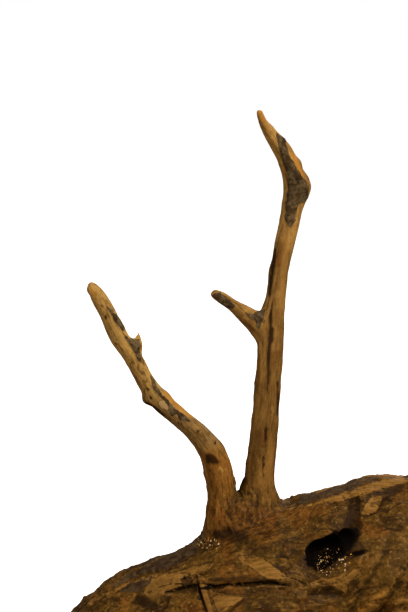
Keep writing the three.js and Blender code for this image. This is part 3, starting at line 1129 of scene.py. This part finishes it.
def root_wood(palette):
    """Hardwood root, worn by water and then dried, with thin bark left in places. The worn wood is
    smooth and has a faint sheen, and the bark, the cracks and the hollow are dull. Shade is
    painted into its sunk places, cracks and hollow, and highlights onto the branches' lit sides."""
    material = bpy.data.materials.new("water_worn_root_wood")
    add = empty_tree(material)
    place = add("coordinates")
    across, _, up = add("parts of place", place).node.outputs
    follows = {"place": place, "grain": add("vector field", attribute_name="grain")}
    noises = {}
    for name, (followed, size, *settings) in WOOD_NOISE.items():
        scaled = add("stretch", follows[followed], [1 / (MM * each) for each in size])
        noises[name] = add("noise", scaled, 1.0, *settings)
    bands, fibres, threads, flecks, cloud, mottle, chips = noises.values()
    names = ("on_burl", "stool", "left", "tone", "red", "bare", "light", "gold", "bark", "stain")
    names += ("fine", "broad", "crack", "hollow", "sand")
    fields = {name: add("field", attribute_name=name) for name in names}
    on_burl, stool, left = fields["on_burl"], fields["stool"], fields["left"]
    mottling = add("subtract", mottle, 0.5)

    # The branches are brown at their feet and golden, and paler, towards their tips.
    high = add("span", add("multiply_add", across, -0.5, up), 0.12, 0.38)
    banding = add("multiply_add", bands, 0.55, add("multiply", cloud, 0.45))
    dark_band = add("mix", high, palette.brown, palette.honey)
    light_band = add("mix", high, palette.amber, palette.golden)
    branch_wood = add("mix", add("span", banding, 0.38, 0.62), dark_band, light_band)

    # Clouds of olive yellow and of rust lie on the branches.
    branch_wood = add("mix", add("span", mottle, 0.54, 0.68, 0.0, 0.4), branch_wood, palette.straw)
    branch_wood = add("mix", add("span", cloud, 0.46, 0.34, 0.0, 0.5), branch_wood, palette.rust)

    # The left branch is russet at its foot, drab up to its elbow and pale and dry beyond it. Both
    # branches have flecks a few millimetres long.
    own = add("mix", add("span", up, 0.143, 0.158), palette.russet, palette.drab)
    own = add("mix", add("span", up, 0.172, 0.2), own, palette.dry)
    branch_wood = add("mix", add("multiply", left, 0.62), branch_wood, own)
    flecked = add("multiply_add", left, 0.5, 0.3)
    dark_flecks = add("multiply", add("span", flecks, 0.47, 0.36), flecked)
    branch_wood = add("mix", dark_flecks, branch_wood, palette.olive)
    pale_flecks = add("multiply", add("span", flecks, 0.56, 0.68), flecked)
    branch_wood = add("mix", pale_flecks, branch_wood, palette.flaxen)

    # The burl is umber, with clouds, and each of its flaked layers has a tone of its own.
    clouds = add("multiply_add", mottling, 1.5, add("subtract", cloud, 0.5))
    tone = add("multiply_add", add("subtract", fields["tone"], 0.5), 0.45, 0.48)
    tone = add("add", tone, clouds)
    tone = add("multiply_add", add("subtract", bands, 0.5), 0.5, tone)
    burl_wood = add("mix", add("span", tone, 0.12, 0.55), palette.umber, palette.olive)
    burl_wood = add("mix", add("span", tone, 0.55, 0.95), burl_wood, palette.chestnut)
    wood = add("mix", on_burl, branch_wood, burl_wood)
    rusty = add("multiply", add("span", cloud, 0.52, 0.64), add("multiply_add", stool, 0.5, 0.35))
    wood = add("mix", add("multiply", rusty, on_burl), wood, palette.rust)
    red = add("span", add("multiply_add", mottling, 1.2, fields["red"]), 0.1, 0.8, 0.0, 0.5)
    wood = add("mix", red, wood, palette.rust)

    # Fibres, threads and chips darken and lighten it.
    wood = add("mix", add("span", fibres, 0.46, 0.32, 0.0, 0.5), wood, palette.dark_fibre_and_rim_shade)
    wood = add("mix", add("span", fibres, 0.56, 0.74, 0.0, 0.3), wood, palette.tan)
    wood = add("mix", add("span", threads, 0.44, 0.3, 0.0, 0.35), wood, palette.dark_fibre_and_rim_shade)
    chipped = add("multiply_add", on_burl, 0.35, 0.2)
    dark_chips = add("multiply", add("span", chips, 0.5, 0.36), chipped)
    wood = add("mix", dark_chips, wood, palette.dark_fibre_and_rim_shade)
    pale_chips = add("multiply", add("span", chips, 0.58, 0.72), chipped)
    wood = add("mix", pale_chips, wood, palette.dust)

    # Torn, mottled wood at the foot of the branches.
    torn = add("multiply", stool, add("span", mottle, 0.52, 0.42))
    wood = add("mix", add("multiply", torn, 0.75), wood, palette.umber)

    # Rubbed bare patches, tan with the fibres showing and with a dark rim of painted shade round their
    # edges.
    ragged = add("multiply", add("subtract", chips, 0.5), 0.45)
    bare = add("add", fields["bare"], ragged)
    rim = add("span", bare, 0.2, 0.4, 0.0, 0.4)
    wood = add("mix", rim, wood, palette.dark_fibre_and_rim_shade)
    tan = add("mix", add("span", fibres, 0.38, 0.62), palette.ochre, palette.tan)
    tan = add("mix", on_burl, palette.ash, tan)
    wood = add("mix", add("multiply", add("span", bare, 0.38, 0.6), 0.85), wood, tan)
    # Tan and gold strokes: painted highlights on the branches' lit sides, and pale and amber wood on
    # the burl.
    wood = add("mix", add("span", fields["light"], 0.15, 0.75, 0.0, 0.5), wood, palette.tan)
    wood = add("mix", add("span", fields["gold"], 0.15, 0.75, 0.0, 0.6), wood, palette.gold)

    # Thin bark that is left, grey olive with darker scales, and dark stains, with painted shade round
    # the knot hollow.
    bark = add("span", add("add", fields["bark"], ragged), 0.47, 0.53)
    bark_colour = add("mix", add("span", mottle, 0.42, 0.58), palette.bark, palette.lichen)
    bark_colour = add("mix", add("span", chips, 0.48, 0.38, 0.0, 0.6), bark_colour, palette.soil_and_shade)
    bark_colour = add("mix", add("multiply", on_burl, 0.6), bark_colour, palette.crust)
    wood = add("mix", add("multiply", bark, 0.92), wood, bark_colour)
    stain = add("span", add("add", fields["stain"], ragged), 0.2, 0.8)
    stain = add("multiply", stain, add("multiply_add", on_burl, -0.14, 0.92))
    wood = add("mix", stain, wood, palette.stain)

    # Painted shade in the sunk places, wear on the burl's proud ones, and painted shade, near black, in
    # the cracks and hollow.
    sunk = add("multiply_add", add("maximum", fields["broad"], 0.0), 0.7, fields["fine"])
    wood = add("mix", add("span", sunk, 0.15, 1.1, 0.0, 0.6), wood, palette.soil_and_shade)
    keep = add("multiply", add("multiply_add", bark, -0.7, 1.0), add("subtract", 1.0, stain))
    worn = add("multiply", add("span", fields["fine"], -0.4, -1.2, 0.0, 0.3), keep)
    wood = add("mix", add("multiply", worn, on_burl), wood, palette.tan)
    # Painted shade: the insides of the cracks and of the knot hollow are painted near black.
    deep = add("maximum", fields["crack"], add("multiply", fields["hollow"], 0.97))
    wood = add("mix", add("span", deep, 0.15, 0.85, 0.0, 0.96), wood, palette.pit_shade)

    # Grains of coarse sand, stuck in the hollow's lip and left of the branches' foot.
    cells = add("cells", place, 1 / (SAND_CELL * MM), 1.0)
    chance, white, large = add("parts of colour", cells.node.outputs["Color"]).node.outputs
    sandy = add("span", fields["sand"], 0.15, 0.8, 0.0, 0.5)
    reach = add("multiply_add", large, 0.3, 0.2)
    grains = add("multiply", add("less_than", cells, reach), add("less_than", chance, sandy))
    sand = add("mix", add("span", white, 0.5, 0.9), palette.sand, palette.quartz)
    wood = add("mix", grains, wood, sand)

    # Bump: fibres 0.3 mm high, scaly bark and the grains of sand.
    scales = add("multiply", chips, add("multiply_add", bark, 1.0, add("multiply", on_burl, 0.5)))
    height = add("add", add("multiply_add", threads, 0.5, fibres), scales)
    height = add("multiply_add", grains, 2.0, height)
    bump = add("bump", height, 0.3 * MM, 0.9)

    gloss = add("span", fibres, 0.3, 0.7, 0.62, 0.48)
    rough = add("maximum", add("multiply_add", bark, 0.16, gloss), deep)
    add("surface", add("wood", wood, rough, bump, 1.5, 0.04))
    return material


def studio_paper(bounce):
    """White paper, lit from below so that it shows as even white, with faint shadows. What it
    gives back to the wood is only its own dim bounce."""
    material = bpy.data.materials.new("backlit_white_paper")
    add = empty_tree(material)
    eye = add("camera ray")
    paper = add("paper", add("mix", eye, bounce, "#E6E6E6"))
    add("surface", add("both", paper, add("glow", add("multiply", eye, 0.9))))
    return material


# ---- Settings, operators and panel ----

FLOOR = 6000  # half of the floor's side, far more than the camera sees
AIM = (0.3075, 0.6637)  # what the camera looks at, as shares of the CAD box from its left and foot
SENSOR = 36  # width of the camera's sensor in millimetres

# Each light's offset from the middle of the wood and its side, in metres, and its colour.
LIGHTS = {
    "key": ((0.75, -0.95, 1.15), 0.8, "#FFF7EA"),
    "fill": ((-1.3, -1.0, 0.5), 1.2, "#FFF5E8"),
    "back": ((0.5, 1.2, 0.9), 0.9, "#FFF7EA"),
}


def colour_property(name, code, words):
    """A text property that holds an sRGB hex colour."""
    return bpy.props.StringProperty(name=name, description=words, default=code)


class DriftwoodShape(bpy.types.PropertyGroup):
    """Sizes of the wood's mesh"""

    blend_voxel: bpy.props.FloatProperty(
        name="Blending grid",
        description="Grid on which the limbs are fused and their joints are smoothed",
        default=1.3 * MM,
        min=0.5 * MM,
        unit="LENGTH",
    )
    skin_voxel: bpy.props.FloatProperty(
        name="Skin grid",
        description="Grid of the finished skin, which holds its relief",
        default=0.95 * MM,
        min=0.5 * MM,
        unit="LENGTH",
    )
    triangles: bpy.props.IntProperty(
        name="Triangles",
        description="Most triangles that the finished skin may have",
        default=192000,
        min=20000,
    )


class DriftwoodPalette(bpy.types.PropertyGroup):
    """Colours of the wood"""

    brown: colour_property("Brown", "#503717", "Darker bands at the branches' feet")
    amber: colour_property("Amber", "#785426", "Lighter bands at the branches' feet")
    honey: colour_property("Honey", "#755328", "Darker bands at the branches' tips")
    golden: colour_property("Golden", "#B48A4A", "Lighter bands at the branches' tips")
    umber: colour_property("Umber", "#2E1D09", "The burl's dark outer layers")
    olive: colour_property("Olive", "#4E3611", "The burl's middle layers")
    chestnut: colour_property("Chestnut", "#6C4B1B", "The burl's pale inner layers")
    rust: colour_property("Rust", "#683C12", "Reddish clouds")
    tan: colour_property("Tan", "#86602C", "Worn, pale wood")
    straw: colour_property("Straw", "#7E5F28", "Olive yellow clouds on the branches")
    russet: colour_property("Russet", "#84541E", "Foot of the left branch")
    drab: colour_property("Drab", "#80663C", "The left branch below its elbow")
    flaxen: colour_property("Flaxen", "#A2803F", "Pale flecks on the branches")
    dry: colour_property("Dry wood", "#AE8A4C", "The left branch's paler wood")
    # Gold: painted highlight on the branches' lit edges, and amber wood on the burl.
    gold: colour_property("Gold", "#A8722A", "Amber, resinous wood")
    ash: colour_property("Ash", "#9A7E52", "Pale, dry wood on the branches")
    dust: colour_property("Dust", "#8A6C40", "Light specks")
    ochre: colour_property("Ochre", "#6C4B1E", "Bare wood between its pale fibres")
    # Dark fibre: dark fibres and chips, and the painted shade in the rims of the bare patches.
    dark_fibre_and_rim_shade: colour_property("Dark fibre", "#2E1C09", "Dark fibres")
    # Stain: dark stains and streaks, and painted shade round the knot hollow.
    stain: colour_property("Stain", "#211306", "Dark stains and streaks")
    bark: colour_property("Bark", "#281F16", "Dark scales of the bark")
    lichen: colour_property("Olive bark", "#544732", "Lighter, olive grey bark")
    crust: colour_property("Crust", "#372617", "Bark on the burl")
    # Soil: dark specks in the bark, and painted shade in the sunk places.
    soil_and_shade: colour_property("Soil", "#1A1007", "Dirt in the sunk places")
    # Pit: near black painted shade inside the cracks and the hollow.
    pit_shade: colour_property("Pit", "#040201", "Inside of the cracks and the hollow")
    sand: colour_property("Sand", "#A8762A", "Yellow grains of sand")
    quartz: colour_property("Quartz", "#CDC2AC", "White grains of sand")


class DriftwoodStage(bpy.types.PropertyGroup):
    """Camera and light"""

    elevation: bpy.props.FloatProperty(
        name="Camera elevation",
        description="How far above the horizon the camera stands",
        default=math.radians(10),
        subtype="ANGLE",
    )
    distance: bpy.props.FloatProperty(
        name="Camera distance",
        description="Distance from the camera to the point that it looks at",
        default=1.02,
        unit="LENGTH",
    )
    lens: bpy.props.FloatProperty(
        name="Lens",
        description="Focal length in millimetres",
        default=100,
        unit="CAMERA",
    )
    key_power: bpy.props.FloatProperty(
        name="Key light",
        description="Power of the soft main light",
        default=40,
        unit="POWER",
    )
    fill_power: bpy.props.FloatProperty(
        name="Fill light",
        description="Power of the weak light on the other side",
        default=9,
        unit="POWER",
    )
    back_power: bpy.props.FloatProperty(
        name="Back light",
        description="Power of the light behind the wood",
        default=11,
        unit="POWER",
    )


class DRIFTWOOD_OT_wood(bpy.types.Operator):
    """Builds the wood"""

    bl_idname = "driftwood.wood"
    bl_label = "Wood"

    def execute(self, context):
        shape = context.scene.driftwood_shape
        wood = fused_wood(shape)
        if not wood.data.polygons:
            raise RuntimeError("the wood has no faces")
        carve_relief(wood)
        wood.data.calc_loop_triangles()
        count = len(wood.data.loop_triangles)
        if count > shape.triangles:
            modify(wood, "DECIMATE", ratio=shape.triangles / count)
        paint_fields(wood)
        wood.data.shade_smooth()
        wood.data.materials.clear()
        wood.data.materials.append(root_wood(context.scene.driftwood_palette))
        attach(wood, "root")
        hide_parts(NODE)
        return {"FINISHED"}


class DRIFTWOOD_OT_stage(bpy.types.Operator):
    """Builds the floor, the light and the camera"""

    bl_idname = "driftwood.stage"
    bl_label = "Stage"

    def execute(self, context):
        settings = context.scene.driftwood_stage
        corners = [(-FLOOR, -FLOOR, 0), (FLOOR, -FLOOR, 0), (FLOOR, FLOOR, 0), (-FLOOR, FLOOR, 0)]
        floor = mesh_object("floor", np.array(corners), np.array([(0, 1, 2, 3)]))
        floor.data.materials.append(studio_paper("#8A7F70"))
        place_world(context.scene)
        low, high = (Vector(corner) for corner in CAD_BOX)
        for name, light in LIGHTS.items():
            place_light(name, (low + high) / 2, *light, getattr(settings, name + "_power"))
        place_camera(context.scene, settings)
        context.scene.view_settings.view_transform = "Standard"
        return {"FINISHED"}


def place_world(scene):
    """A white surround for the eye, and a dimmer one for the light that it gives."""
    world = bpy.data.worlds.new("white_surround")
    add = empty_tree(world)
    eye = add("camera ray")
    colour = add("mix", eye, "#FFF2E0", "#FFFFFF")
    add("surround", add("background", colour, add("span", eye, 0.0, 1.0, 0.2, 1.0)))
    scene.world = world


def place_light(name, middle, offset, size, colour, power):
    """A square soft light that looks at the middle of the wood from an offset in metres."""
    lamp = bpy.data.lights.new(name, "AREA")
    lamp.size = size
    lamp.energy = power
    lamp.color = linear(colour)[:3]
    made = bpy.data.objects.new(name, lamp)
    made.location = middle + Vector(offset)
    made.rotation_euler = Vector(offset).to_track_quat("Z", "Y").to_euler()
    bpy.context.collection.objects.link(made)


def place_camera(scene, settings):
    """Looks along +Y and down, at a point above the burl's left half."""
    low, high = (Vector(corner) for corner in CAD_BOX)
    size = high - low
    aim = Vector((low.x + AIM[0] * size.x, 0, low.z + AIM[1] * size.z))
    back = Vector((0, -math.cos(settings.elevation), math.sin(settings.elevation)))
    lens = bpy.data.cameras.new("camera")
    lens.lens = settings.lens
    lens.sensor_width = SENSOR
    lens.clip_start = 0.01
    lens.clip_end = 50
    camera = bpy.data.objects.new("camera", lens)
    camera.location = aim + back * settings.distance
    camera.rotation_euler = back.to_track_quat("Z", "Y").to_euler()
    bpy.context.collection.objects.link(camera)
    scene.camera = camera


class DRIFTWOOD_PT_panel(bpy.types.Panel):
    """Lists the driftwood's settings and steps"""

    bl_label = "Driftwood"
    bl_idname = "DRIFTWOOD_PT_panel"
    bl_space_type = "VIEW_3D"
    bl_region_type = "UI"
    bl_category = "Driftwood"

    def draw(self, context):
        scene = context.scene
        groups = (
            (scene.driftwood_shape, "driftwood.wood"),
            (scene.driftwood_palette, "driftwood.wood"),
            (scene.driftwood_stage, "driftwood.stage"),
        )
        for group, operator in groups:
            box = self.layout.box()
            for key in group.__annotations__:
                box.prop(group, key)
            box.operator(operator)


CLASSES = (
    DriftwoodShape,
    DriftwoodPalette,
    DriftwoodStage,
    DRIFTWOOD_OT_wood,
    DRIFTWOOD_OT_stage,
    DRIFTWOOD_PT_panel,
)


def register():
    for each in CLASSES:
        bpy.utils.register_class(each)
    bpy.types.Scene.driftwood_shape = bpy.props.PointerProperty(type=DriftwoodShape)
    bpy.types.Scene.driftwood_palette = bpy.props.PointerProperty(type=DriftwoodPalette)
    bpy.types.Scene.driftwood_stage = bpy.props.PointerProperty(type=DriftwoodStage)


def unregister():
    del bpy.types.Scene.driftwood_stage
    del bpy.types.Scene.driftwood_palette
    del bpy.types.Scene.driftwood_shape
    for each in reversed(CLASSES):
        bpy.utils.unregister_class(each)


def main():
    """Builds everything."""
    register()
    bpy.ops.driftwood.wood()
    bpy.ops.driftwood.stage()


if __name__ == "__main__":
    main()
